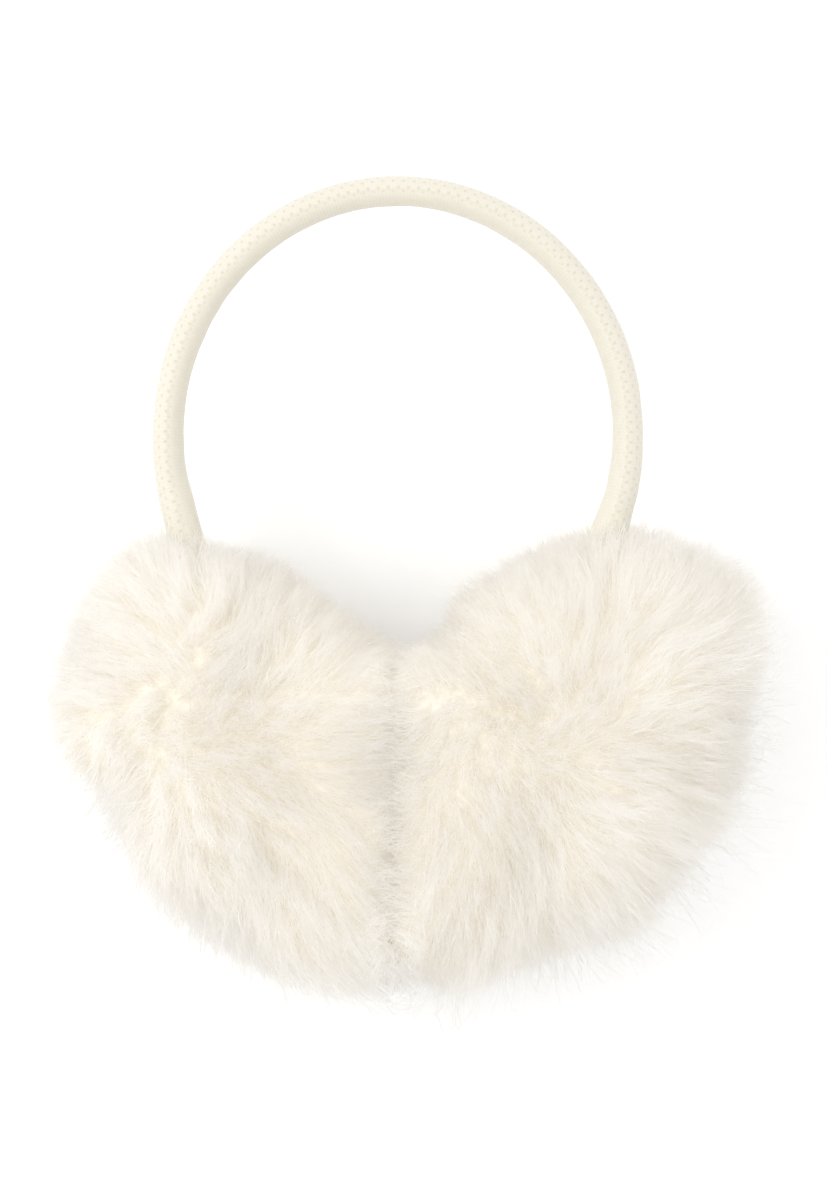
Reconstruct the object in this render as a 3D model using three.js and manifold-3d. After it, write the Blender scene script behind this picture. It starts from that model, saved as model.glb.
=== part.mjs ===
import * as THREE from "three";
import { mergeVertices } from "three/addons/utils/BufferGeometryUtils.js";
import Module from "manifold-3d";

// Fur earmuffs lying on a table, in millimetres, +Z up.
// A padded band in a knitted sleeve arches in a level plane and ends inside two round fur ear pads.
// The pads stand on their edges, side by side, and are pressed together in the middle.
// +Y runs from the pads to the crown of the band and +X to the right. All places along X and Y are first
// measured from the middle of the arch at its widest, and the finished model is then centred on its base.

// Band: an arch that is half an ellipse with two straight legs
const archHalfWidth = 59.8; // from the middle to the band's centreline, where the arch is widest
const archRise = 63.4; // from the widest line up to the centreline of the crown
const legAngle = 14; // degrees of ellipse below the widest line, before a leg runs straight
const legSewnIn = 28; // how deep a leg goes into its pad, below the top of the pad
const bandThickness = 8.0; // in the plane of the arch
const bandWidth = 14.0; // across the plane of the arch
const legThickness = 9.4; // the sleeve bunches up a little where it goes into the fur
const legSwellLength = 30; // how far up the band that bunching fades out

// Ear pads
const padRadius = 54; // what the reaches in the outline tables are shares of
const padHeight = 106; // from the table to the top of the fur core
const padPressedFlat = 6; // how much of the fur below is pressed flat by the weight
const padFullness = 2.35; // exponent of the pad's rounded side: 2 is an ellipse, more is boxier
const padSqueeze = 5.6; // how far each pad is pressed in where it meets the other
const padDrop = 85; // from the arch's widest line down to the middles of the pads
const padTop = padRadius - padDrop; // about where the legs meet the fur, up from the widest line
const meetingShift = -1.6; // the line where the pads meet lies a little left of the arch's middle
const gap = 0.6; // clearance between pieces

// Locks of fur
const lockCount = 78; // on each pad
const lockLength = 28;
const lockWidth = 18;
const lockThickness = 4.5;
const lockRoot = 1.0; // how deep a lock starts below the surface of the core
const furLoft = 5.5; // how far the core lies inside the outline that the locks reach
const lockLift = 9; // degrees between a lock's root and the surface
const lockDrape = 0.6; // share by which each stretch of a lock turns to follow the surface
const lockSag = 0.1; // how strongly a lock hangs down

const creamFur = new THREE.MeshStandardMaterial({ color: 0xf5ecdd, roughness: 0.95, metalness: 0 });
const creamKnit = new THREE.MeshStandardMaterial({ color: 0xf6efdf, roughness: 0.9, metalness: 0 });

// How far the fur reaches from a pad's centre, by direction, as shares of padRadius.
// angle is in degrees from +X towards +Y, and a pad's last row leads back to its first.
const leftOutline = [
  { angle: 0, reach: 0.95 },
  { angle: 20, reach: 0.97 },
  { angle: 38, reach: 1.01 },
  { angle: 52, reach: 0.97 },
  { angle: 68, reach: 1.02 },
  { angle: 88, reach: 1.09 },
  { angle: 108, reach: 1.14 },
  { angle: 122, reach: 1.1 },
  { angle: 140, reach: 0.97 },
  { angle: 162, reach: 0.86 },
  { angle: 182, reach: 0.66 },
  { angle: 208, reach: 0.61 },
  { angle: 232, reach: 0.66 },
  { angle: 255, reach: 0.73 },
  { angle: 275, reach: 0.89 },
  { angle: 290, reach: 1.1 },
  { angle: 308, reach: 1.24 },
  { angle: 330, reach: 1.08 },
];
const rightOutline = [
  { angle: 0, reach: 0.87 },
  { angle: 18, reach: 0.93 },
  { angle: 34, reach: 1.12 },
  { angle: 48, reach: 1.22 },
  { angle: 62, reach: 1.24 },
  { angle: 76, reach: 1.18 },
  { angle: 92, reach: 1.1 },
  { angle: 110, reach: 1.02 },
  { angle: 128, reach: 0.99 },
  { angle: 144, reach: 0.95 },
  { angle: 162, reach: 0.93 },
  { angle: 180, reach: 0.95 },
  { angle: 205, reach: 1.04 },
  { angle: 228, reach: 1.26 },
  { angle: 244, reach: 1.21 },
  { angle: 258, reach: 1.04 },
  { angle: 278, reach: 0.87 },
  { angle: 302, reach: 0.83 },
  { angle: 326, reach: 0.76 },
  { angle: 344, reach: 0.82 },
];

// whorl is where the fur parts on the pad, right and up from the pad's centre in shares of padRadius.
// meeting is the row of the outline that faces the other pad, and side is -1 on the left and 1 on the right.
const pads = [
  { name: "left_fur_pad", side: -1, outline: leftOutline, meeting: 0, whorl: [-0.25, 0.35] },
  { name: "right_fur_pad", side: 1, outline: rightOutline, meeting: 180, whorl: [-0.09, 0.28] },
];

const wasm = await Module();
wasm.setup();

const radians = THREE.MathUtils.degToRad;
const up = new THREE.Vector3(0, 0, 1);
const midHeight = padHeight / 2; // the band and the middles of the pads lie level with each other

// A smooth closed curve through an outline's rows.
function reachTowards(outline, degrees) {
  const count = outline.length;
  const angle = THREE.MathUtils.euclideanModulo(degrees, 360);
  let row = count - 1;
  while (row > 0 && outline[row].angle > angle) row -= 1;
  const at = (k) => outline[THREE.MathUtils.euclideanModulo(k, count)].reach;
  const end = row + 1 < count ? outline[row + 1].angle : 360 + outline[0].angle;
  const t = (angle - outline[row].angle) / (end - outline[row].angle);
  const [a, b, c, d] = [at(row - 1), at(row), at(row + 1), at(row + 2)];
  const cubic = [2 * b, c - a, 2 * a - 5 * b + 4 * c - d, 3 * b - a - 3 * c + d];
  return (cubic[0] + t * (cubic[1] + t * (cubic[2] + t * cubic[3]))) / 2;
}

// A repeatable number from 0 to 1 for the k-th lock, one series for each use.
function chance(k, series) {
  const wave = Math.sin(k * 12.9898 + series * 78.233) * 43758.5453;
  return wave - Math.floor(wave);
}

// A closed body through rings of points, each ring running anticlockwise seen from its far end.
function loft(rings, startPoint, endPoint) {
  const around = rings[0].length;
  const points = [...rings.flat(), startPoint, endPoint];
  const [first, last] = [points.length - 2, points.length - 1];
  const faces = [];
  for (let i = 0; i < around; i += 1) {
    const j = (i + 1) % around;
    faces.push(first, j, i);
    for (let ring = 0; ring + 1 < rings.length; ring += 1) {
      const [low, high] = [ring * around, (ring + 1) * around];
      faces.push(low + i, low + j, high + j, low + i, high + j, high + i);
    }
    const top = (rings.length - 1) * around;
    faces.push(top + i, top + j, last);
  }
  const geometry = new THREE.BufferGeometry().setFromPoints(points);
  geometry.setIndex(faces);
  return geometry;
}

function toSolid(geometry) {
  const bare = new THREE.BufferGeometry();
  bare.setAttribute("position", geometry.getAttribute("position"));
  bare.setIndex(geometry.getIndex());
  const merged = mergeVertices(bare, 1e-4);
  const vertProperties = merged.getAttribute("position").array;
  const triVerts = new Uint32Array(merged.getIndex().array);
  return new wasm.Manifold(new wasm.Mesh({ numProp: 3, vertProperties, triVerts }));
}

// The outer body alone, without pockets closed in between locks or chips cut from them.
function withoutHollows(solid) {
  return solid.decompose().reduce((largest, piece) => (piece.volume() > largest.volume() ? piece : largest));
}

function toGeometry(solid) {
  const { vertProperties, triVerts } = solid.getMesh();
  const geometry = new THREE.BufferGeometry();
  geometry.setAttribute("position", new THREE.BufferAttribute(vertProperties, 3));
  geometry.setIndex(new THREE.BufferAttribute(triVerts, 1));
  geometry.computeVertexNormals();
  return geometry;
}

function boxSolid(low, high) {
  const size = new THREE.Vector3().subVectors(high, low);
  const middle = new THREE.Vector3().addVectors(low, high).multiplyScalar(0.5);
  const box = new THREE.BoxGeometry(size.x, size.y, size.z);
  return toSolid(box.translate(middle.x, middle.y, middle.z));
}

// The middle of a pad: its fur reaches past the line where the pads meet, and is pressed back to it.
function padCentre(pad) {
  const towardsOther = reachTowards(pad.outline, pad.meeting) * padRadius;
  return new THREE.Vector3(meetingShift + pad.side * (towardsOther - padSqueeze), -padDrop, midHeight);
}

// A leg runs straight from the end of the arch to a place under the top of its pad.
function legLine(pad) {
  const turn = radians(legAngle);
  const archEnd = new THREE.Vector3(archHalfWidth * pad.side * Math.cos(turn), -archRise * Math.sin(turn), midHeight);
  const sewnEnd = new THREE.Vector3(padCentre(pad).x, padTop - legSewnIn, midHeight);
  return new THREE.Line3(archEnd, sewnEnd);
}

// Places along the band from the left leg's end over the crown to the right leg's end:
// each has a point of the centreline and the direction along it.
function bandPlaces() {
  const arcSteps = 40;
  const legSteps = 2;
  const [leftLeg, rightLeg] = pads.map(legLine);
  const places = [];
  for (let k = legSteps; k > 0; k -= 1) {
    const point = leftLeg.at(k / legSteps, new THREE.Vector3());
    places.push({ point, along: leftLeg.delta(new THREE.Vector3()).negate().normalize() });
  }
  for (let k = 0; k <= arcSteps; k += 1) {
    const turn = radians(180 + legAngle - ((180 + 2 * legAngle) * k) / arcSteps);
    const point = new THREE.Vector3(archHalfWidth * Math.cos(turn), archRise * Math.sin(turn), midHeight);
    const along = new THREE.Vector3(archHalfWidth * Math.sin(turn), -archRise * Math.cos(turn), 0).normalize();
    places.push({ point, along });
  }
  for (let k = 1; k <= legSteps; k += 1) {
    const point = rightLeg.at(k / legSteps, new THREE.Vector3());
    places.push({ point, along: rightLeg.delta(new THREE.Vector3()).normalize() });
  }
  return places;
}

// The band's thickness swells towards the legs.
function thicknessAt(point) {
  const fade = THREE.MathUtils.smoothstep(point.y, padTop, padTop + legSwellLength);
  return THREE.MathUtils.lerp(legThickness, bandThickness, fade);
}

// The band's body, grown all round by a clearance.
function bandGeometry(clearance) {
  const sides = 12;
  const places = bandPlaces();
  const rings = places.map(({ point, along }) => {
    const outward = new THREE.Vector3().crossVectors(up, along);
    const ring = [];
    for (let k = 0; k < sides; k += 1) {
      const turn = (2 * Math.PI * k) / sides;
      const out = Math.cos(turn) * (thicknessAt(point) / 2 + clearance);
      const high = Math.sin(turn) * (bandWidth / 2 + clearance);
      ring.push(point.clone().addScaledVector(outward, out).addScaledVector(up, high));
    }
    return ring;
  });
  const [first, last] = [places[0], places[places.length - 1]];
  const startPoint = first.point.clone().addScaledVector(first.along, -clearance);
  const endPoint = last.point.clone().addScaledVector(last.along, clearance);
  return loft(rings, startPoint, endPoint);
}

// What the functions below need to know about a pad's form.
function padForm(pad) {
  const centre = padCentre(pad);
  const coreReach = (angle) => reachTowards(pad.outline, THREE.MathUtils.radToDeg(angle)) * padRadius - furLoft;
  const coreHeight = (z) => (z > 0 ? padHeight / 2 : padHeight / 2 + padPressedFlat);
  const whorl = new THREE.Vector2(...pad.whorl).multiplyScalar(padRadius);
  return { centre, coreReach, coreHeight, whorl };
}

// 1 on the core's surface, less inside it and more outside; at is measured from the pad's centre.
function coreLevel(form, at) {
  const flat = Math.hypot(at.x, at.y) / form.coreReach(Math.atan2(at.y, at.x));
  const high = Math.abs(at.z) / form.coreHeight(at.z);
  return flat ** padFullness + high ** padFullness;
}

function coreNormal(form, at) {
  const step = padRadius / 108;
  const slope = [new THREE.Vector3(step, 0, 0), new THREE.Vector3(0, step, 0), new THREE.Vector3(0, 0, step)].map(
    (move) => coreLevel(form, at.clone().add(move)) - coreLevel(form, at.clone().sub(move)),
  );
  return new THREE.Vector3(...slope).normalize();
}

function ontoCore(form, at) {
  return at.clone().multiplyScalar(coreLevel(form, at) ** (-1 / padFullness));
}

// The pad's core: level rings from the bottom to the top.
function coreGeometry(form) {
  const around = 24;
  const levels = 9;
  const rings = [];
  for (let level = 1; level < levels; level += 1) {
    const tilt = Math.PI * (level / levels - 0.5);
    const ring = [];
    for (let k = 0; k < around; k += 1) {
      const turn = (2 * Math.PI * k) / around;
      const out = form.coreReach(turn) * Math.cos(tilt);
      const start = new THREE.Vector3(out * Math.cos(turn), out * Math.sin(turn), midHeight * Math.sin(tilt));
      ring.push(ontoCore(form, start).add(form.centre));
    }
    rings.push(ring);
  }
  const bottom = form.centre.clone().addScaledVector(up, -form.coreHeight(-1));
  const top = form.centre.clone().addScaledVector(up, form.coreHeight(1));
  return loft(rings, bottom, top);
}

// The way the fur lies at a place on the core: out from the whorl, along the surface.
function furDirection(form, at, normal) {
  const away = new THREE.Vector3(at.x - form.whorl.x, at.y - form.whorl.y, 0).normalize();
  away.z = -lockSag;
  return away.addScaledVector(normal, -away.dot(normal)).normalize();
}

// One lock: a flattened spike that follows the fur's lie and lifts off where the core curves away.
function lockGeometry(form, root, number) {
  const outlineShares = [
    { along: 0, width: 0.7, height: 0.8 },
    { along: 0.4, width: 1, height: 1 },
    { along: 0.76, width: 0.62, height: 0.62 },
  ];
  const length = lockLength * (0.82 + 0.36 * chance(number, 1));
  const width = lockWidth * (0.85 + 0.3 * chance(number, 2));
  const normal = coreNormal(form, root);
  const lean = radians((chance(number, 3) - 0.5) * 40);
  const heading = furDirection(form, root, normal).applyAxisAngle(normal, lean);
  const across = new THREE.Vector3().crossVectors(normal, heading);
  const direction = heading.clone().applyAxisAngle(across, -radians(lockLift));
  const at = root.clone().addScaledVector(normal, -lockRoot);
  const rings = [];
  let walked = 0;
  const walkTo = (share) => {
    at.addScaledVector(direction, (share - walked) * length);
    walked = share;
    const here = coreNormal(form, at);
    const along = furDirection(form, at, here).applyAxisAngle(here, lean);
    direction.lerp(along, lockDrape).normalize();
  };
  for (const row of outlineShares) {
    walkTo(row.along);
    const side = new THREE.Vector3().crossVectors(coreNormal(form, at), direction).normalize();
    const over = new THREE.Vector3().crossVectors(direction, side);
    const ring = [0, 90, 180, 270].map((degrees) =>
      at
        .clone()
        .addScaledVector(side, (Math.cos(radians(degrees)) * row.width * width) / 2)
        .addScaledVector(over, Math.sin(radians(degrees)) * row.height * lockThickness),
    );
    rings.push(ring.map((point) => point.add(form.centre)));
  }
  const start = rings[0].reduce((sum, point) => sum.add(point), new THREE.Vector3()).divideScalar(4);
  walkTo(1);
  return loft(rings, start, at.clone().add(form.centre));
}

// Places spread evenly over the core by turning through the golden angle from top to bottom.
function lockRoots(form) {
  const goldenAngle = Math.PI * (3 - Math.sqrt(5));
  const roots = [];
  for (let k = 0; k < lockCount; k += 1) {
    const rise = 1 - (2 * k + 1) / lockCount;
    const flat = Math.sqrt(1 - rise * rise);
    const turn = k * goldenAngle;
    const reach = form.coreReach(turn);
    const out = new THREE.Vector3(flat * reach * Math.cos(turn), flat * reach * Math.sin(turn), rise * midHeight);
    roots.push(ontoCore(form, out));
  }
  return roots;
}

// Locks start clear of the table, of the other pad and of the leg.
function lockFits(pad, form, root) {
  const place = root.clone().add(form.centre);
  const fromOther = pad.side * (place.x - meetingShift);
  const nearestOfLeg = legLine(pad).closestPointToPoint(place, true, new THREE.Vector3());
  const fromLeg = place.distanceTo(nearestOfLeg);
  return place.z > lockThickness && fromOther > lockThickness && fromLeg > (bandWidth + lockWidth) / 2;
}

function padSolid(pad, bandSpace) {
  const form = padForm(pad);
  const locks = lockRoots(form)
    .map((root, number) => ({ root, number }))
    .filter(({ root }) => lockFits(pad, form, root))
    .map(({ root, number }) => toSolid(lockGeometry(form, root, number)));
  const furry = locks.reduce((body, lock) => body.add(lock), toSolid(coreGeometry(form)));
  const reach = 4 * padRadius;
  const faceX = meetingShift + (pad.side * gap) / 2;
  const table = boxSolid(new THREE.Vector3(-reach, -reach, -reach), new THREE.Vector3(reach, reach, 0));
  const otherSide = boxSolid(
    new THREE.Vector3(Math.min(faceX, faceX - pad.side * reach), -reach, -reach),
    new THREE.Vector3(Math.max(faceX, faceX - pad.side * reach), reach, reach),
  );
  return withoutHollows(furry.subtract(table).subtract(otherSide).subtract(bandSpace));
}

function named(name, geometry, material) {
  const mesh = new THREE.Mesh(geometry, material);
  mesh.name = name;
  return mesh;
}

function earmuffs() {
  const group = new THREE.Group();
  group.add(named("knit_headband", bandGeometry(0), creamKnit));
  const bandSpace = toSolid(bandGeometry(gap));
  for (const pad of pads) {
    group.add(named(pad.name, toGeometry(padSolid(pad, bandSpace)), creamFur));
  }
  const box = new THREE.Box3().setFromObject(group, true);
  const middle = box.getCenter(new THREE.Vector3());
  group.position.set(-middle.x, -middle.y, 0);
  return group;
}

export default earmuffs();
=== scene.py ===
import math
import bpy
import numpy as np
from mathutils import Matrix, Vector
from mathutils.bvhtree import BVHTree
from mathutils.kdtree import KDTree


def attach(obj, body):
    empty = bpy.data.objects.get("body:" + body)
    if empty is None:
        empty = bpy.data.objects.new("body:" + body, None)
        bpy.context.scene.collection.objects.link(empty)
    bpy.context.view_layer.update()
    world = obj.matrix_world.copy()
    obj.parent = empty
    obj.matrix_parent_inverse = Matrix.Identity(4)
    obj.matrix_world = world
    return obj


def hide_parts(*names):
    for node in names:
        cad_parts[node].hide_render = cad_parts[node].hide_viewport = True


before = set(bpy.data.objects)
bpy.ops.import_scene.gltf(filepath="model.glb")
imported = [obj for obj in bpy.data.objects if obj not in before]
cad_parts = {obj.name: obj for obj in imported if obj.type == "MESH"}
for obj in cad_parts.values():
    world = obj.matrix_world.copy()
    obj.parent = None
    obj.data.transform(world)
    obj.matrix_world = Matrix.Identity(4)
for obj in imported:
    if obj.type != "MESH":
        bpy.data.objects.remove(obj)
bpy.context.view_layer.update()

# Fur earmuffs on a white table, seen from straight above.
# Metres, +Z up, +Y towards the crown of the band.

# Small helpers


def makeActive(piece):
    if bpy.context.object and bpy.context.object.mode != "OBJECT":
        bpy.ops.object.mode_set(mode="OBJECT")
    bpy.ops.object.select_all(action="DESELECT")
    piece.select_set(True)
    bpy.context.view_layer.objects.active = piece


def applyModifiers(piece):
    makeActive(piece)
    for modifier in list(piece.modifiers):
        bpy.ops.object.modifier_apply(modifier=modifier.name)


def newMaterial(name):
    material = bpy.data.materials.new(name)
    material.use_nodes = True
    nodes, links = material.node_tree.nodes, material.node_tree.links
    return material, nodes, links, nodes["Principled BSDF"]


def ramp(nodes, stops):
    node = nodes.new("ShaderNodeValToRGB")
    while len(node.color_ramp.elements) < len(stops):
        node.color_ramp.elements.new(0.5)
    for element, (place, colour) in zip(node.color_ramp.elements, stops):
        element.position = place
        element.color = (*colour, 1)
    return node


def linear(red, green, blue):
    return tuple(((value / 255 + 0.055) / 1.055) ** 2.4 for value in (red, green, blue))


def unit(v):
    return v / np.maximum(np.linalg.norm(v, axis=-1, keepdims=True), 1e-9)


def across(v, normal):  # what is left of v along a surface
    return v - (v * normal).sum(axis=-1, keepdims=True) * normal


# 1 up to 0.7 of a distance, then down to 0 at 1.7 of it
def nearTo(far, distance):
    return np.clip(1.7 - far / distance, 0, 1)


# A soft, wandering vector for each place: waves of about the given length, added up.
def drift(places, wavelength, seed, waves=7):
    random = np.random.default_rng(seed)
    total = np.zeros_like(places)
    for _ in range(waves):
        wave = unit(random.normal(size=3)) * (2 * math.pi / wavelength) * random.uniform(0.6, 1.5)
        turn = np.sin(places @ wave + random.uniform(0, 2 * math.pi))
        total += turn[:, None] * unit(random.normal(size=3))
    return total * 1.3 / math.sqrt(waves)


# Camera, table and light

view = {
    "aim": (0.0039, 0.0002, 0.053),  # the middle of the picture, level with the band
    "pictureHeight": 0.306,  # how much the picture's height takes in there
    "lens": 120,
}


def makeView():
    camera = bpy.data.objects.new("camera", bpy.data.cameras.new("camera"))
    bpy.context.scene.collection.objects.link(camera)
    camera.data.lens = view["lens"]
    camera.data.sensor_width = 36
    x, y, z = view["aim"]
    camera.location = (x, y, z + view["pictureHeight"] * view["lens"] / 36)
    camera.data.clip_end = 30
    bpy.context.scene.camera = camera


studio = {
    "tableSize": 8.0,
    "tableColour": (0.97, 0.97, 0.97),
    "tableGlow": 0.075,  # a white cove's own light, which keeps the shadow pale
    "surround": 1.03,  # even white light from all round
    "keyPower": 6.8,
    "keySize": 0.7,
    "keyPlace": (-0.75, 0.22, 1.45),
}


def makeStudio():
    bpy.ops.mesh.primitive_grid_add(x_subdivisions=8, y_subdivisions=8, size=studio["tableSize"])
    table = bpy.context.object
    table.name = "table_top"
    material, nodes, links, shader = newMaterial("white_table")
    shader.inputs["Base Color"].default_value = (*studio["tableColour"], 1)
    shader.inputs["Roughness"].default_value = 0.9
    shader.inputs["Specular IOR Level"].default_value = 0.2
    shader.inputs["Emission Color"].default_value = (1, 1, 1, 1)
    shader.inputs["Emission Strength"].default_value = studio["tableGlow"]
    table.data.materials.append(material)

    world = bpy.data.worlds.new("white_room")
    bpy.context.scene.world = world
    world.use_nodes = True
    background = world.node_tree.nodes["Background"]
    background.inputs["Color"].default_value = (1, 1, 1, 1)
    background.inputs["Strength"].default_value = studio["surround"]

    key = bpy.data.lights.new("key_light", "AREA")
    key.energy = studio["keyPower"]
    key.size = studio["keySize"]
    lamp = bpy.data.objects.new("key_light", key)
    bpy.context.scene.collection.objects.link(lamp)
    lamp.location = studio["keyPlace"]
    lamp.rotation_euler = (Vector(view["aim"]) - lamp.location).to_track_quat("-Z", "Y").to_euler()
    bpy.context.scene.view_settings.view_transform = "Standard"


# Fur: a backing with thin flat hairs that lie in locks

fur = {
    "backingDepth": 0.0085,  # how far the backing lies under the fur's outer form
    "creaseDepth": 0.0045,  # the same beside the crease
    "outerStops": (0.0015, -0.0005),  # how far the outer form goes past the crease and the table
    "backingStops": (-0.0002, -0.004),
    "pressedWithin": (0.0012, 0.0008),  # what is this near the crease or table is pressed flat
    "spanRounds": (5, 4),  # how far the gaps between the solid's locks are spanned
    "filledReach": 0.064,  # pressed places are first filled out this far, then cut off straight
    "filledRounds": 80,
    "lumps": 0.0050,  # how uneven the outline is, most of all to the lower right
    "lumpLength": 0.011,
    "lumpPlaces": (0.55, 0.5, -0.6),  # everywhere, more to the right, more towards the bottom
    "lumpLeast": 0.25,
    "creaseEnds": (-0.0155, -0.0990),  # how far the crease runs, from the notch down
    "creaseCorner": 0.012,  # how far from the crease its square ends reach
    "creaseBlend": 0.020,  # how far from the crease the fur wells up
    "creaseFullness": (4.0, 8.0),  # how square it stands, at the crease's ends and in between
    "creaseEndShare": 0.2,
    "creaseHeight": 0.052,  # above the pads' middles
    "creaseStrip": 0.007,  # how far from the crease the hairs are squeezed out
    "thinned": {"hidden": 0.6, "crease": 0.35, "whorl": -0.1},  # share of hairs left out there
    "thinStrip": 0.008,  # how far that reaches from the crease, and from the whorl
    "thinWhorl": 0.026,
    "tuftTries": 16000,  # places tried for tufts
    "tuftSpacing": 0.0029,
    "lockSpacing": 0.0085,
    "hairLength": 0.018,  # along the backing
    "straight": (0.75, 1.25),  # how far a stiff hair goes along the backing, and up
    "stiffness": (0.1, 0.5),
    "creaseStiffness": 0.9,
    "creaseLength": 0.014,  # of the fur that is squeezed out beside the crease
    "creaseRise": (0.0, 0.5, 0.5),
    "creaseLean": {-1: (1.0, -0.1, 0.0), 1: (-0.55, -0.15, 0.0)},  # it crosses over the crease
    "hairWidth": 0.00015,
    "taper": ((0, 0.3, 0.6, 1), (0.7, 1.0, 0.9, 0.0)),  # a hair's width from root to tip
    "roll": 0.6,  # how far each hair turns about itself
    "wave": 0.0004,
    "overTable": 0.0004,  # no hair comes nearer to the table
    "reach": (0.1080, 0.1205),  # hairs that would end farther out than this are left out
    "loft": (0.004, 0.020),  # least and most that the topcoat stands over the backing
    "whorlSize": 0.040,  # round a whorl the hair stands up instead of lying down
    "swirl": 0.9,
    "ownWay": 0.15,  # how much each tuft goes its own way, and how much more round a whorl
    "whorlWay": 0.55,
    "wander": 0.35,  # how much the lie of the fur turns about, over long and short stretches
    "wanderLength": 0.034,
    "ruffle": 0.22,
    "ruffleLength": 0.010,
    "weight": 0.15,  # how much it hangs down
    "hills": 0.06,  # how much the fur's depth rises and falls
    "hillLength": 0.018,
    "lockPull": 0.06,  # how closely tufts gather into locks, and hairs into tufts
    "tuftPull": 0.12,
    "coats": {
        "underfur": {
            "hairs": 27000, "points": 4, "length": (0.25, 0.7), "stand": (0.4, 0.9),
            "width": 1.3, "stray": 0.8, "curl": 0.0022,
        },
        "topcoat": {
            "hairs": 26000, "points": 4, "length": (0.5, 1.0), "stand": (0.82, 1.04),
            "width": 1.0, "stray": 0.8, "curl": 0.0013,
        },
        "longcoat": {
            "hairs": 17000, "points": 5, "length": (0.7, 1.15), "stand": (0.92, 1.08),
            "width": 0.8, "stray": 0.9, "curl": 0.0013,
        },
        "guard_hair": {
            "hairs": 1100, "points": 5, "length": (1.0, 1.6), "stand": (1.3, 2.2),
            "width": 1.4, "stray": 1.0, "curl": 0.0045,
        },
    },
}

# dents: where the outline is pressed in a little, as degrees round the pad from +X,
# how many degrees wide, and how deep
pads = {
    "left_fur_pad": {
        "middle": (-0.0476, -0.0449, 0.053),
        "whorl": (-0.058, -0.026, 0.104),
        "side": -1,
        "seed": 21,
        "dents": [(55, 22, 0.0025)],
    },
    "right_fur_pad": {
        "middle": (0.0439, -0.0449, 0.053),
        "whorl": (0.034, -0.030, 0.104),
        "side": 1,
        "seed": 42,
        "dents": [(134, 10, 0.0058), (244, 16, 0.0060)],
    },
}

crease = -0.0018  # the plane where the pads are pressed together


# Reaches from a pad's middle, each evened out with its neighbours
def evenOut(reaches, edges, rounds):
    a, b = edges.T
    neighbours = np.bincount(edges.ravel(), minlength=len(reaches))
    for _ in range(rounds):
        total = np.bincount(a, reaches[b], len(reaches)) + np.bincount(b, reaches[a], len(reaches))
        reaches = 0.4 * reaches + 0.6 * total / neighbours
    return reaches


# Grown, or with -1 shrunk, to the farthest reach next to each
def widen(reaches, edges, rounds, sign=1):
    a, b = edges.T
    for _ in range(rounds):
        grown = sign * reaches
        np.maximum.at(grown, a, sign * reaches[b])
        np.maximum.at(grown, b, sign * reaches[a])
        reaches = sign * grown
    return reaches


# Reaches held back where the pads press on each other and on the table, with how far
# past the crease and the table they may go; below 0 they stop before it
def pressed(reaches, rays, pad, atCrease, atTable):
    middle, side = pad["middle"], pad["side"]
    towards, down = np.maximum(-side * rays[:, 0], 1e-6), np.maximum(-rays[:, 2], 1e-6)
    reaches = np.minimum(reaches, (side * (middle[0] - crease) + atCrease) / towards)
    return np.minimum(reaches, (middle[2] + atTable) / down)


# Where the pads are pressed together their fur wells up: the sides stand up straight
# there, and the crease runs on to square ends
def filledOut(reaches, rays, pad):
    middle, side = np.array(pad["middle"]), pad["side"]
    level = unit(rays * [1, 1, 0] + 1e-6)
    wide = reaches[nearestRow(level, rays)]
    toCrease = side * (middle[0] - crease) / np.maximum(-side * level[:, 0], 0.1)
    notch, foot = fur["creaseEnds"] - middle[1]
    toEnd = np.where(level[:, 1] > 0, notch, -foot) / np.maximum(np.abs(level[:, 1]), 0.05)
    past = side * (middle[0] + level[:, 0] * toEnd - crease)
    toEnd = np.minimum(toEnd, np.maximum(1.35 * toCrease, wide))
    wide = wide + np.maximum(toEnd - wide, 0) * nearTo(past, fur["creaseCorner"])
    least, most = fur["creaseFullness"]
    n = least + (most - least) * np.clip((1 - toCrease / wide) / fur["creaseEndShare"], 0, 1)
    out = np.hypot(rays[:, 0], rays[:, 1]) / wide
    high = np.maximum(rays[:, 2], 0) / fur["creaseHeight"]
    full = np.maximum(out**n + high**n, 0.01) ** (-1 / n)
    ends = middle + rays * full[:, None]
    beside = nearTo(np.abs(ends[:, 0] - crease), fur["creaseBlend"])
    beside = beside * np.clip(0.5 + 2 * rays[:, 2], 0, 1)
    beside = beside * beside * (3 - 2 * beside)
    return np.maximum(reaches, reaches + (full - reaches) * beside), beside


def dents(rays, pad):
    turn = np.degrees(np.arctan2(rays[:, 1], rays[:, 0]))
    total = np.zeros(len(rays))
    for place, wide, deep in pad["dents"]:
        total += deep * np.exp(-((((turn - place + 180) % 360 - 180) / wide) ** 2))
    return total * (1 - rays[:, 2] ** 2)


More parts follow.
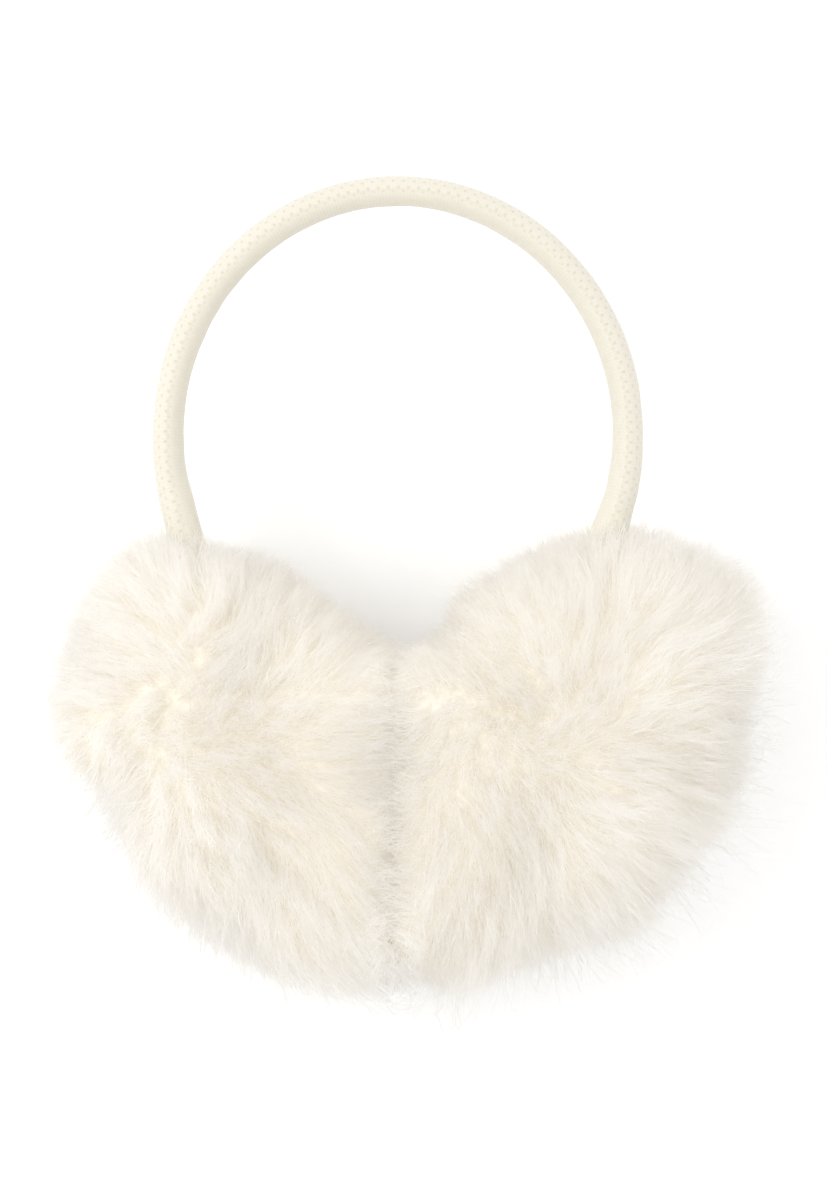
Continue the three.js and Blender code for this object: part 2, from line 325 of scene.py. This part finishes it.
# Two closed forms round a pad's middle: the fur's outer form, which spans the solid's
# locks, and its backing
def padForms(node, pad):
    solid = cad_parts[node]
    middle = np.array(pad["middle"])
    bpy.ops.mesh.primitive_ico_sphere_add(subdivisions=6, radius=1)
    backing = bpy.context.object
    backing.name = node.replace("fur_pad", "fur_backing")
    mesh = backing.data
    rays = np.empty(len(mesh.vertices) * 3)
    mesh.vertices.foreach_get("co", rays)
    rays = unit(rays.reshape(-1, 3))
    edges = np.empty(len(mesh.edges) * 2, dtype=np.int32)
    mesh.edges.foreach_get("vertices", edges)
    edges = edges.reshape(-1, 2)
    corners = [v.co for v in solid.data.vertices]
    tree = BVHTree.FromPolygons(corners, [f.vertices for f in solid.data.polygons])
    start = 0.3
    starts, inward = (middle + rays * start).tolist(), (-rays).tolist()
    hits = [tree.ray_cast(place, way)[3] for place, way in zip(starts, inward)]
    reaches = start - np.array(hits)
    ends = middle + rays * reaches[:, None]
    nearCrease, nearTable = fur["pressedWithin"]
    flat = (ends[:, 2] < nearTable) | (pad["side"] * (ends[:, 0] - crease) < nearCrease)
    grow, shrink = fur["spanRounds"]
    spanned = widen(widen(reaches, edges, grow), edges, shrink, -1)
    spanned[flat] = fur["filledReach"]
    for _ in range(fur["filledRounds"]):
        spanned = np.where(flat, evenOut(spanned, edges, 1), spanned)
    spanned, beside = filledOut(spanned, rays, pad)
    spanned -= dents(rays, pad)
    always, right, up = fur["lumpPlaces"]
    ragged = np.clip(always + right * rays[:, 0] + up * rays[:, 1], fur["lumpLeast"], 1)
    ragged *= 1 - rays[:, 2] ** 2
    lumps = fur["lumps"] * drift(rays * 0.05, fur["lumpLength"], pad["seed"] + 3)[:, 0] * ragged
    depth = fur["backingDepth"] + (fur["creaseDepth"] - fur["backingDepth"]) * beside
    outer = evenOut(widen(spanned, edges, 1), edges, 3) + 0.0005 + lumps
    outer = pressed(outer, rays, pad, *fur["outerStops"])
    inner = pressed(evenOut(spanned, edges, 12) - depth, rays, pad, *fur["backingStops"])

    mesh.vertices.foreach_set("co", (middle + rays * outer[:, None]).ravel())
    mesh.update()
    form = readSurface(backing)
    mesh.vertices.foreach_set("co", (middle + rays * inner[:, None]).ravel())
    mesh.update()
    makeActive(backing)
    bpy.ops.object.shade_smooth()
    return backing, form


# A mesh as arrays, with a tree that finds the nearest place on it
def readSurface(piece):
    mesh = piece.data
    mesh.calc_loop_triangles()
    points = np.empty(len(mesh.vertices) * 3)
    mesh.vertices.foreach_get("co", points)
    normals = np.empty(len(mesh.vertices) * 3)
    mesh.vertices.foreach_get("normal", normals)
    faces = np.empty(len(mesh.loop_triangles) * 3, dtype=np.int32)
    mesh.loop_triangles.foreach_get("vertices", faces)
    points, normals, faces = points.reshape(-1, 3), normals.reshape(-1, 3), faces.reshape(-1, 3)
    tree = BVHTree.FromPolygons(points.tolist(), faces.tolist())
    return {"points": points, "normals": normals, "faces": faces, "tree": tree}


# Random places on a surface: more round the whorl, where the hairs part, and fewer on
# the underside, low down between the pads and at the crease, where both pads' fur meets
def scatter(surface, count, pad, random):
    side = pad["side"]
    faces, points, normals = surface["faces"], surface["points"], surface["normals"]
    a, b, c = (points[faces[:, k]] for k in range(3))
    area = np.linalg.norm(np.cross(b - a, c - a), axis=1)
    facing = normals[faces[:, 0]]
    between = np.clip(-2.0 * side * facing[:, 0] - 1.0, 0, 1) * np.clip(2.0 - 30 * a[:, 2], 0, 1)
    hidden = np.maximum(np.clip(-1.6 * facing[:, 2] - 0.4, 0, 1), between)
    rim = np.exp(-(((a[:, 0] - crease) / fur["thinStrip"]) ** 2))
    rim *= np.clip(a[:, 2] / 0.02 - 2, 0, 1)
    whorl = np.exp(-((np.linalg.norm(a - pad["whorl"], axis=1) / fur["thinWhorl"]) ** 2))
    thinned = fur["thinned"]
    chance = area * (1 - thinned["hidden"] * hidden) * (1 - thinned["crease"] * rim)
    chance *= 1 - thinned["whorl"] * whorl
    corners = faces[random.choice(len(area), size=count, p=chance / chance.sum())]
    u, v = random.random(count), random.random(count)
    over = u + v > 1
    u[over], v[over] = 1 - u[over], 1 - v[over]
    weights = np.stack([1 - u - v, u, v], axis=1)[:, :, None]
    return (points[corners] * weights).sum(axis=1), unit((normals[corners] * weights).sum(axis=1))


def nearestOn(surface, places):
    hits = [surface["tree"].find_nearest(place) for place in places.tolist()]
    return np.array([hit[0] for hit in hits]), np.array([hit[1] for hit in hits])


def nearestRow(places, targets):
    tree = KDTree(len(targets))
    for row, target in enumerate(targets.tolist()):
        tree.insert(target, row)
    tree.balance()
    return np.array([tree.find(place)[1] for place in places.tolist()])


# Rows of places that keep about a spacing apart
def spreadOut(places, spacing):
    taken, kept = {}, []
    for row, place in enumerate(places.tolist()):
        i, j, k = (int(value // spacing) for value in place)
        cells = [(i + a, j + b, k + c) for a in (-1, 0, 1) for b in (-1, 0, 1) for c in (-1, 0, 1)]
        if all(math.dist(taken[cell], place) > spacing for cell in cells if cell in taken):
            taken[i, j, k] = place
            kept.append(row)
    return np.array(kept)


# The way the fur lies: away from the whorl with a swirl, wandering, and a little down.
# It is shorter near the whorl, where the fur stands up
def lie(pad, places, normals, ownWay):
    away = across(places - np.array(pad["whorl"]), normals)
    far = np.linalg.norm(away, axis=1, keepdims=True)
    away = away / np.maximum(far, 1e-9)
    nearWhorl = np.exp(-((far / fur["whorlSize"]) ** 2))
    turn = fur["swirl"] * np.exp(-far / fur["whorlSize"])
    away = away * np.cos(turn) + np.cross(normals, away) * np.sin(turn)
    way = away + fur["wander"] * drift(places, fur["wanderLength"], pad["seed"])
    way += fur["ruffle"] * drift(places, fur["ruffleLength"], pad["seed"] + 1)
    way += ownWay * (fur["ownWay"] + fur["whorlWay"] * nearWhorl)
    way[:, 2] -= fur["weight"]
    flat = 1 - 0.5 * nearWhorl
    return unit(across(way, normals)) * flat


# How far each place on the backing is from the solid's outer form, straight out
def depthUnder(form, places, normals):
    depths = []
    for place, normal in zip(places.tolist(), normals.tolist()):
        _, _, _, distance = form["tree"].ray_cast(place, normal)
        depths.append(distance if distance else fur["loft"][0])
    return np.clip(depths, *fur["loft"])[:, None]


# 1 beside the crease and 0 away from it and where its ends slope down
def besideCrease(places, normals):
    near = nearTo(np.abs(places[:, :1] - crease), fur["creaseStrip"])
    return near * nearTo(np.abs(normals[:, 1:2]), 0.5)


# Paths of the tufts over the backing: steps along the ground, and how far each lifts off it
def growTufts(pad, surface, form, roots, normals, random):
    steps = 5
    ground, lift = [roots], [np.zeros_like(roots)]
    at, normal = roots, normals
    ownWay = unit(random.normal(size=roots.shape))
    way = lie(pad, at, normal, ownWay)
    far, high = fur["straight"]
    straight = way * far * fur["hairLength"] + normals * high * depthUnder(form, roots, normals)
    stiffness = random.uniform(*fur["stiffness"], len(roots))[:, None]

    # beside the crease the fur is squeezed out and crosses over it, the left pad's farther
    beside = besideCrease(roots, normals)
    out = roots - np.array(pad["middle"])
    out[:, 0] = 0
    out = unit(unit(out) * fur["creaseRise"] + 0.3 * ownWay + fur["creaseLean"][pad["side"]])
    straight += (out * fur["creaseLength"] - straight) * beside
    stiffness = stiffness + (fur["creaseStiffness"] - stiffness) * beside
    for step in range(1, steps):
        share = step / (steps - 1)
        at, normal = nearestOn(surface, at + way * fur["hairLength"] / (steps - 1))
        way = 0.4 * across(way, normal) + 0.6 * lie(pad, at, normal, ownWay)
        deep = depthUnder(form, at, normal)
        deep = deep * (1 + fur["hills"] * drift(at, fur["hillLength"], pad["seed"] + 2)[:, :1])
        up = normal * deep * (1 - (1 - share) ** 1.7)
        ray = roots + straight * share
        ground.append(at)
        stiff = np.maximum(stiffness * share, fur["creaseStiffness"] * beside)
        lift.append(up + (ray - at - up) * stiff)
    return np.stack(ground, axis=1), np.stack(lift, axis=1)


def resample(paths, count):
    place = np.linspace(0, paths.shape[1] - 1, count)
    low = np.minimum(place.astype(int), paths.shape[1] - 2)
    part = (place - low)[None, :, None]
    return paths[:, low] * (1 - part) + paths[:, low + 1] * part


def gather(paths, leaders, rows, pull):
    share = np.linspace(0, 1, paths.shape[1])[None, :, None]
    return paths + (leaders[rows] - paths) * pull * share**1.3


# Flat tapering hairs along paths, as one mesh, with how far along and how pale each place is
def hairMesh(name, paths, facing, width, shade, random):
    count, steps = paths.shape[:2]
    along = unit(np.gradient(paths, axis=1))
    side = unit(np.cross(along, facing))
    over = np.cross(side, along)
    roll = random.normal(0, fur["roll"], count)[:, None, None]
    side = side * np.cos(roll) + over * np.sin(roll)
    taper = np.interp(np.linspace(0, 1, steps), *fur["taper"])
    half = side * taper[None, :, None] * width[:, None, None] / 2
    left, right = paths - half, paths + half
    per = 2 * steps - 1
    points = np.empty((count, per, 3))
    points[:, 0:-1:2] = left[:, :-1]
    points[:, 1:-1:2] = right[:, :-1]
    points[:, -1] = paths[:, -1]
    pairs = range(0, per - 3, 2)
    strip = [(k, k + 1, k + 3) for k in pairs] + [(k, k + 3, k + 2) for k in pairs]
    strip.append((per - 3, per - 2, per - 1))
    faces = (np.array(strip)[None] + (np.arange(count) * per)[:, None, None]).reshape(-1, 3)

    mesh = bpy.data.meshes.new(name)
    mesh.vertices.add(count * per)
    mesh.vertices.foreach_set("co", points.ravel())
    mesh.loops.add(len(faces) * 3)
    mesh.loops.foreach_set("vertex_index", faces.ravel())
    mesh.polygons.add(len(faces))
    mesh.polygons.foreach_set("loop_start", np.arange(len(faces)) * 3)
    mesh.polygons.foreach_set("use_smooth", np.ones(len(faces), dtype=bool))
    mesh.update()

    share = np.repeat(np.linspace(0, 1, steps), 2)[:-1]
    tone = mesh.attributes.new("hairTone", "FLOAT_VECTOR", "POINT")
    values = np.empty((count, per, 3))
    values[..., 0] = share[None]
    values[..., 1] = shade[:, None]
    values[..., 2] = random.random(count)[:, None]
    tone.data.foreach_set("vector", values.ravel())

    # each hair has its own small cell of the UV map, root to tip
    cells = math.ceil(math.sqrt(count))
    column, row = np.arange(count) % cells, np.arange(count) // cells
    sideShare = np.tile([0.25, 0.75], steps)[:per]
    sideShare[-1] = 0.5
    u = (column[:, None] + sideShare[None]) / cells
    v = (row[:, None] + 0.15 + 0.7 * share[None]) / cells
    uv = np.stack([u, v], axis=-1).reshape(-1, 2)[faces.ravel()]
    layer = mesh.uv_layers.new(name="OFBake")
    layer.data.foreach_set("uv", uv.ravel())
    piece = bpy.data.objects.new(name, mesh)
    bpy.context.scene.collection.objects.link(piece)
    return piece


furColours = {
    # the hairs grow paler from root to tip: the darker, warmer roots are painted shade deep in the
    # fur
    "root": linear(251.4, 249.3, 245.8),
    "middle": linear(253.3, 252.2, 250.4),
    "tip": linear(254.1, 253.15, 251.6),
    "dim": 0.985,  # how much darker the darkest hairs are than the palest
    "translucent": 0.8,
    "guard": linear(254.5, 254.5, 254),  # the long hairs that stand out of the coat
}


def hairMaterial(name, root, middle, tip):
    material, nodes, links, shader = newMaterial(name)
    tone = nodes.new("ShaderNodeAttribute")
    tone.attribute_name = "hairTone"
    split = nodes.new("ShaderNodeSeparateXYZ")
    links.new(tone.outputs["Vector"], split.inputs[0])
    # darker towards the root: painted shade deep in the fur
    colour = ramp(nodes, [(0.0, root), (0.45, middle), (1.0, tip)])
    links.new(split.outputs["X"], colour.inputs[0])
    darken = nodes.new("ShaderNodeMapRange")
    darken.inputs["To Min"].default_value = furColours["dim"]
    darken.inputs["To Max"].default_value = 1.0
    links.new(split.outputs["Y"], darken.inputs["Value"])
    shaded = nodes.new("ShaderNodeVectorMath")
    shaded.operation = "SCALE"
    links.new(colour.outputs[0], shaded.inputs[0])
    links.new(darken.outputs[0], shaded.inputs["Scale"])
    links.new(shaded.outputs[0], shader.inputs["Base Color"])
    shader.inputs["Roughness"].default_value = 0.7
    shader.inputs["Specular IOR Level"].default_value = 0.25
    through = nodes.new("ShaderNodeBsdfTranslucent")
    links.new(shaded.outputs[0], through.inputs["Color"])
    mix = nodes.new("ShaderNodeMixShader")
    mix.inputs[0].default_value = furColours["translucent"]
    links.new(shader.outputs[0], mix.inputs[1])
    links.new(through.outputs[0], mix.inputs[2])
    links.new(mix.outputs[0], nodes["Material Output"].inputs["Surface"])
    return material


def backingMaterial():
    material, nodes, links, shader = newMaterial("cream_fur_backing")
    place = nodes.new("ShaderNodeTexCoord")
    noise = nodes.new("ShaderNodeTexNoise")
    noise.inputs["Scale"].default_value = 420
    noise.inputs["Detail"].default_value = 6
    links.new(place.outputs["Object"], noise.inputs["Vector"])
    colour = ramp(nodes, [(0.35, linear(237, 230, 215)), (0.65, linear(246, 241, 229))])
    links.new(noise.outputs[0], colour.inputs[0])
    links.new(colour.outputs[0], shader.inputs["Base Color"])
    bump = nodes.new("ShaderNodeBump")
    bump.inputs["Strength"].default_value = 0.6
    bump.inputs["Distance"].default_value = 0.0006
    links.new(noise.outputs[0], bump.inputs["Height"])
    links.new(bump.outputs[0], shader.inputs["Normal"])
    shader.inputs["Roughness"].default_value = 0.95
    return material


def makeFur(node, coatColour, guardColour, backingColour):
    pad = pads[node]
    random = np.random.default_rng(pad["seed"])
    backing, form = padForms(node, pad)
    backing.data.materials.append(backingColour)
    surface = readSurface(backing)

    starts, facing = scatter(surface, fur["tuftTries"], pad, random)
    kept = spreadOut(starts, fur["tuftSpacing"])
    roots, facing = starts[kept], facing[kept]
    ground, lift = growTufts(pad, surface, form, roots, facing, random)
    lockRows = spreadOut(roots, fur["lockSpacing"])
    tuftLock = nearestRow(roots, roots[lockRows])
    tufts = gather(ground + lift, (ground + lift)[lockRows], tuftLock, fur["lockPull"])
    ground = tufts - lift
    lockShade = random.random(len(lockRows))[tuftLock]
    tuftShade = 0.4 * lockShade + 0.6 * random.random(len(roots))
    print("fur", node, "tufts", len(roots), "locks", len(lockRows))

    pieces = [backing]
    steps = tufts.shape[1]
    share = np.linspace(0, 1, steps)[None, :, None]
    for coat, sizes in fur["coats"].items():
        guard = coat == "guard_hair"
        starts, facing = scatter(surface, sizes["hairs"] * (6 if guard else 1), pad, random)
        if guard:  # they show along the lower rim and the pad's far side
            rim = (np.abs(facing[:, 2]) < 0.55) & (facing[:, 1] < 0.15)
            rim &= (pad["side"] * facing[:, 0] > 0.3) | (facing[:, 1] < -0.5)
            starts, facing = starts[rim][: sizes["hairs"]], facing[rim][: sizes["hairs"]]
        tuft = nearestRow(starts, roots)
        length = random.uniform(*sizes["length"], len(starts))[:, None, None]
        stand = random.uniform(*sizes["stand"], len(starts))[:, None, None]
        grown = (ground[tuft] - roots[tuft][:, None]) * length + lift[tuft] * stand
        pull = fur["tuftPull"] * (1 - sizes["stray"] * random.random(len(starts)))[:, None, None]
        paths = starts[:, None] + grown + (roots[tuft] - starts)[:, None] * pull * share**1.3
        curl = random.normal(0, sizes["curl"], (len(starts), 1, 3)) * share**1.5
        turns = random.uniform(3, 7, (len(starts), 1, 1))
        wave = random.normal(0, fur["wave"], (len(starts), 1, 3)) * np.sin(share * turns)
        paths = resample(paths + curl + wave, sizes["points"])
        paths[..., 2] = np.maximum(paths[..., 2], fur["overTable"])
        width = fur["hairWidth"] * sizes["width"] * random.uniform(0.7, 1.3, len(starts))
        shade = 0.5 * tuftShade[tuft] + 0.5 * random.random(len(starts))
        facing = unit(facing + 3 * besideCrease(starts, facing) * [0, 0, 1])[:, None]
        near = (np.abs(paths[..., :2]) < fur["reach"]).all(axis=(1, 2))
        name = node.replace("fur_pad", coat)
        hairs = hairMesh(name, paths[near], facing[near], width[near], shade[near], random)
        hairs.data.materials.append(guardColour if guard else coatColour)
        pieces.append(hairs)
    for piece in pieces:
        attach(piece, "root")
        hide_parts(node)
    print("fur", node, "hairs", sum(sizes["hairs"] for sizes in fur["coats"].values()))


# Band: a knitted sleeve in the oval shape of a flat padded core, in place of the solid band

band = {
    "middle": (-0.00025, 0.04012, 0.053),  # of the arch at its widest
    "archHalfWidth": 0.0598,
    "archRise": 0.0634,
    "legAngle": 14,
    "legEnds": ((-0.0473, -0.059), (0.0441, -0.059)),
    "thickness": 0.0080,
    "legThickness": 0.0094,
    "width": 0.0140,
    "legTop": -0.031,  # from here up the leg grows slimmer, in y from the arch's middle
    "swellLength": 0.030,
    "stepAlong": 0.00052,
    "around": 72,
    "uneven": ((0.016, 0.00011), (0.006, 0.00005)),  # lengths and heights of its soft unevenness
    "gatherEvery": 0.0031,  # small gathers near the fur, over 2 pi
    "gatherHeight": 0.00022,
}

knit = {
    "holeEvery": 0.0026,  # along a column of holes
    "columnEvery": 0.0020,
    "firstColumn": -0.0016,  # from the top line of the band, outwards
    "holeSize": 0.00060,
    # how strongly the holes are darkened with painted shade
    "holeShade": 0.5,
    "plainFrom": 0.62,  # towards the head there are no holes: from this share of the girth
    "plainUpTo": 0.0008,  # up to this far before its end
    "stitch": 0.00092,
    "light": linear(229.5, 225.5, 212.5),
    "dark": linear(224, 218, 203),
    # painted shade inside the eyelet holes
    "hole": linear(203, 195, 173),
}


# The band's centreline as even steps, from the left leg over the crown to the right leg
def bandLine():
    low = math.radians(band["legAngle"])
    turns = np.linspace(math.pi + low, -low, 400)
    arch = np.stack([np.cos(turns), np.sin(turns)], axis=1)
    arch *= [band["archHalfWidth"], band["archRise"]]
    left, right = band["legEnds"]
    share = np.linspace(0, 1, 60)[:, None]
    legDown = arch[-1] + (np.array(right) - arch[-1]) * share
    legUp = np.array(left) + (arch[0] - np.array(left)) * share
    rough = np.concatenate([legUp[:-1], arch, legDown[1:]])
    far = np.concatenate([[0], np.cumsum(np.linalg.norm(np.diff(rough, axis=0), axis=1))])
    even = np.linspace(0, far[-1], round(far[-1] / band["stepAlong"]) + 1)
    line = np.stack([np.interp(even, far, rough[:, k]) for k in range(2)], axis=1)
    for _ in range(12):
        line[1:-1] = 0.5 * line[1:-1] + 0.25 * (line[2:] + line[:-2])
    return line, even


def makeSleeve():
    line, along = bandLine()
    heading = unit(np.gradient(line, axis=0))
    outward = np.stack([-heading[:, 1], heading[:, 0]], axis=1)
    fade = np.clip((line[:, 1] - band["legTop"]) / band["swellLength"], 0, 1)
    fade = fade * fade * (3 - 2 * fade)
    half = (band["legThickness"] + (band["thickness"] - band["legThickness"]) * fade) / 2

    # places round the band, evenly spaced over its oval: 0 at its top line, then outwards
    turns = np.linspace(0, 2 * math.pi, 2000)
    oval = [np.sin(turns) * band["thickness"] / 2, np.cos(turns) * band["width"] / 2]
    oval = np.stack(oval, axis=1)
    walked = np.concatenate([[0], np.cumsum(np.linalg.norm(np.diff(oval, axis=0), axis=1))])
    around = band["around"]
    girth = walked[-1]
    aroundFar = np.arange(around) * girth / around
    bend = np.interp(aroundFar, walked, turns)

    count = len(line)
    out = np.sin(bend)[None, :] * half[:, None]
    high = np.broadcast_to(np.cos(bend)[None, :] * band["width"] / 2, out.shape)
    places = np.empty((count, around, 3))
    middle = np.array(band["middle"])
    places[..., :2] = line[:, None] + outward[:, None] * out[..., None] + middle[:2]
    places[..., 2] = high + middle[2]
    normals = np.empty_like(places)
    normals[..., :2] = outward[:, None] * (np.sin(bend)[None, :, None] / (band["thickness"] / 2))
    normals[..., 2] = np.cos(bend)[None, :] / (band["width"] / 2)
    normals = unit(normals)

    # soft unevenness, and gathers near the fur
    flat = places.reshape(-1, 3)
    uneven = np.zeros((count, around))
    for seed, (length, height) in enumerate(band["uneven"], 7):
        uneven += drift(flat, length, seed)[:, 0].reshape(count, around) * height
    wander = 1.1 * drift(flat, 0.02, 9)[:, 0].reshape(count, around)
    gathers = np.sin(along[:, None] / band["gatherEvery"] + wander)
    uneven += gathers * band["gatherHeight"] * (1 - fade[:, None])
    places += normals * uneven[..., None]

    points = places.reshape(-1, 3)
    rows, columns = np.meshgrid(np.arange(count - 1), np.arange(around), indexing="ij")
    here, beyond = rows * around, (rows + 1) * around
    nextColumn = (columns + 1) % around
    quads = [here + columns, here + nextColumn, beyond + nextColumn, beyond + columns]
    quads = np.stack(quads, axis=-1).reshape(-1, 4)
    mesh = bpy.data.meshes.new("knit_sleeve")
    ends = [tuple(range(around)), tuple((count - 1) * around + k for k in reversed(range(around)))]
    mesh.from_pydata(points.tolist(), [], quads.tolist() + ends)
    mesh.update()
    knitPlace = mesh.attributes.new("knitPlace", "FLOAT_VECTOR", "POINT")
    values = np.zeros((count, around, 3))
    values[..., 0] = along[:, None]
    values[..., 1] = aroundFar[None, :]
    knitPlace.data.foreach_set("vector", values.ravel())
    sleeve = bpy.data.objects.new("knit_sleeve", mesh)
    bpy.context.scene.collection.objects.link(sleeve)
    makeActive(sleeve)
    bpy.ops.object.shade_smooth()
    sleeve.data.materials.append(knitMaterial(girth))
    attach(sleeve, "root")
    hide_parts("knit_headband")
    print("sleeve", len(mesh.polygons))


# One step of arithmetic in a material; what is given may be a number or a socket
def calculate(nodes, links, operation, *values):
    node = nodes.new("ShaderNodeMath")
    node.operation = operation
    for socket, value in zip(node.inputs, values):
        if isinstance(value, (int, float)):
            socket.default_value = value
        else:
            links.new(value, socket)
    return node.outputs[0]


def knitMaterial(girth):
    material, nodes, links, shader = newMaterial("cream_knit")
    place = nodes.new("ShaderNodeAttribute")
    place.attribute_name = "knitPlace"
    split = nodes.new("ShaderNodeSeparateXYZ")
    links.new(place.outputs["Vector"], split.inputs[0])

    def do(operation, *values):
        return calculate(nodes, links, operation, *values)

    along, around = split.outputs["X"], split.outputs["Y"]
    # holes: columns along the band, every other one moved by half a step
    column = do("DIVIDE", do("SUBTRACT", around, knit["firstColumn"]), knit["columnEvery"])
    nearest = do("ROUND", column)
    shift = do("MULTIPLY", do("PINGPONG", nearest, 1.0), 0.5)
    rowPlace = do("ADD", do("DIVIDE", along, knit["holeEvery"]), shift)
    offAlong = do("MULTIPLY", do("SUBTRACT", rowPlace, do("ROUND", rowPlace)), knit["holeEvery"])
    offAround = do("MULTIPLY", do("SUBTRACT", column, nearest), knit["columnEvery"])
    off = do("SQRT", do("ADD", do("POWER", offAlong, 2.0), do("POWER", offAround, 2.0)))
    hole = nodes.new("ShaderNodeMapRange")
    hole.interpolation_type = "SMOOTHSTEP"
    hole.inputs["From Min"].default_value = knit["holeSize"]
    hole.inputs["From Max"].default_value = knit["holeSize"] * 0.15
    links.new(off, hole.inputs["Value"])
    # no holes on the side towards the head
    inner = do("GREATER_THAN", around, girth * knit["plainFrom"])
    inner = do("MULTIPLY", inner, do("LESS_THAN", around, girth - knit["plainUpTo"]))
    holes = do("MULTIPLY", hole.outputs[0], do("SUBTRACT", 1.0, inner))
    # stitches: rows of small slanting loops
    wale = do("PINGPONG", do("DIVIDE", around, knit["stitch"] / 2), 1.0)
    loops = do("ADD", do("DIVIDE", along, knit["stitch"]), do("MULTIPLY", wale, 0.5))
    loops = do("SINE", do("MULTIPLY", loops, 2 * math.pi))
    loops = do("MULTIPLY", do("ADD", loops, 1.0), 0.5)

    coords = nodes.new("ShaderNodeTexCoord")
    noise = nodes.new("ShaderNodeTexNoise")
    noise.inputs["Scale"].default_value = 900
    noise.inputs["Detail"].default_value = 5
    links.new(coords.outputs["Object"], noise.inputs["Vector"])
    patch = nodes.new("ShaderNodeTexNoise")
    patch.inputs["Scale"].default_value = 60
    patch.inputs["Detail"].default_value = 3
    links.new(coords.outputs["Object"], patch.inputs["Vector"])

    tone = do("ADD", do("MULTIPLY", loops, 0.25), do("MULTIPLY", noise.outputs[0], 0.4))
    tone = do("ADD", tone, do("MULTIPLY", patch.outputs[0], 0.35))
    cloth = ramp(nodes, [(0.25, knit["dark"]), (0.75, knit["light"])])
    links.new(tone, cloth.inputs[0])
    # the holes are darkened with painted shade
    mix = nodes.new("ShaderNodeMix")
    mix.data_type = "RGBA"
    links.new(do("MULTIPLY", holes, knit["holeShade"]), mix.inputs["Factor"])
    links.new(cloth.outputs[0], mix.inputs["A"])
    mix.inputs["B"].default_value = (*knit["hole"], 1)
    links.new(mix.outputs["Result"], shader.inputs["Base Color"])

    height = do("ADD", do("MULTIPLY", loops, 0.35), do("MULTIPLY", noise.outputs[0], 0.5))
    height = do("SUBTRACT", height, do("MULTIPLY", holes, 1.6))
    bump = nodes.new("ShaderNodeBump")
    bump.inputs["Strength"].default_value = 0.35
    bump.inputs["Distance"].default_value = 0.00025
    links.new(height, bump.inputs["Height"])
    links.new(bump.outputs[0], shader.inputs["Normal"])
    shader.inputs["Roughness"].default_value = 0.85
    shader.inputs["Specular IOR Level"].default_value = 0.2
    shader.inputs["Sheen Weight"].default_value = 0.3
    return material


makeView()
makeStudio()
print("camera, table and light")
makeSleeve()
root, middle, tip, guard = (furColours[place] for place in ("root", "middle", "tip", "guard"))
coatColour = hairMaterial("cream_fur_hair", root, middle, tip)
guardColour = hairMaterial("white_guard_hair", middle, guard, guard)
backingColour = backingMaterial()
for node in pads:
    makeFur(node, coatColour, guardColour, backingColour)
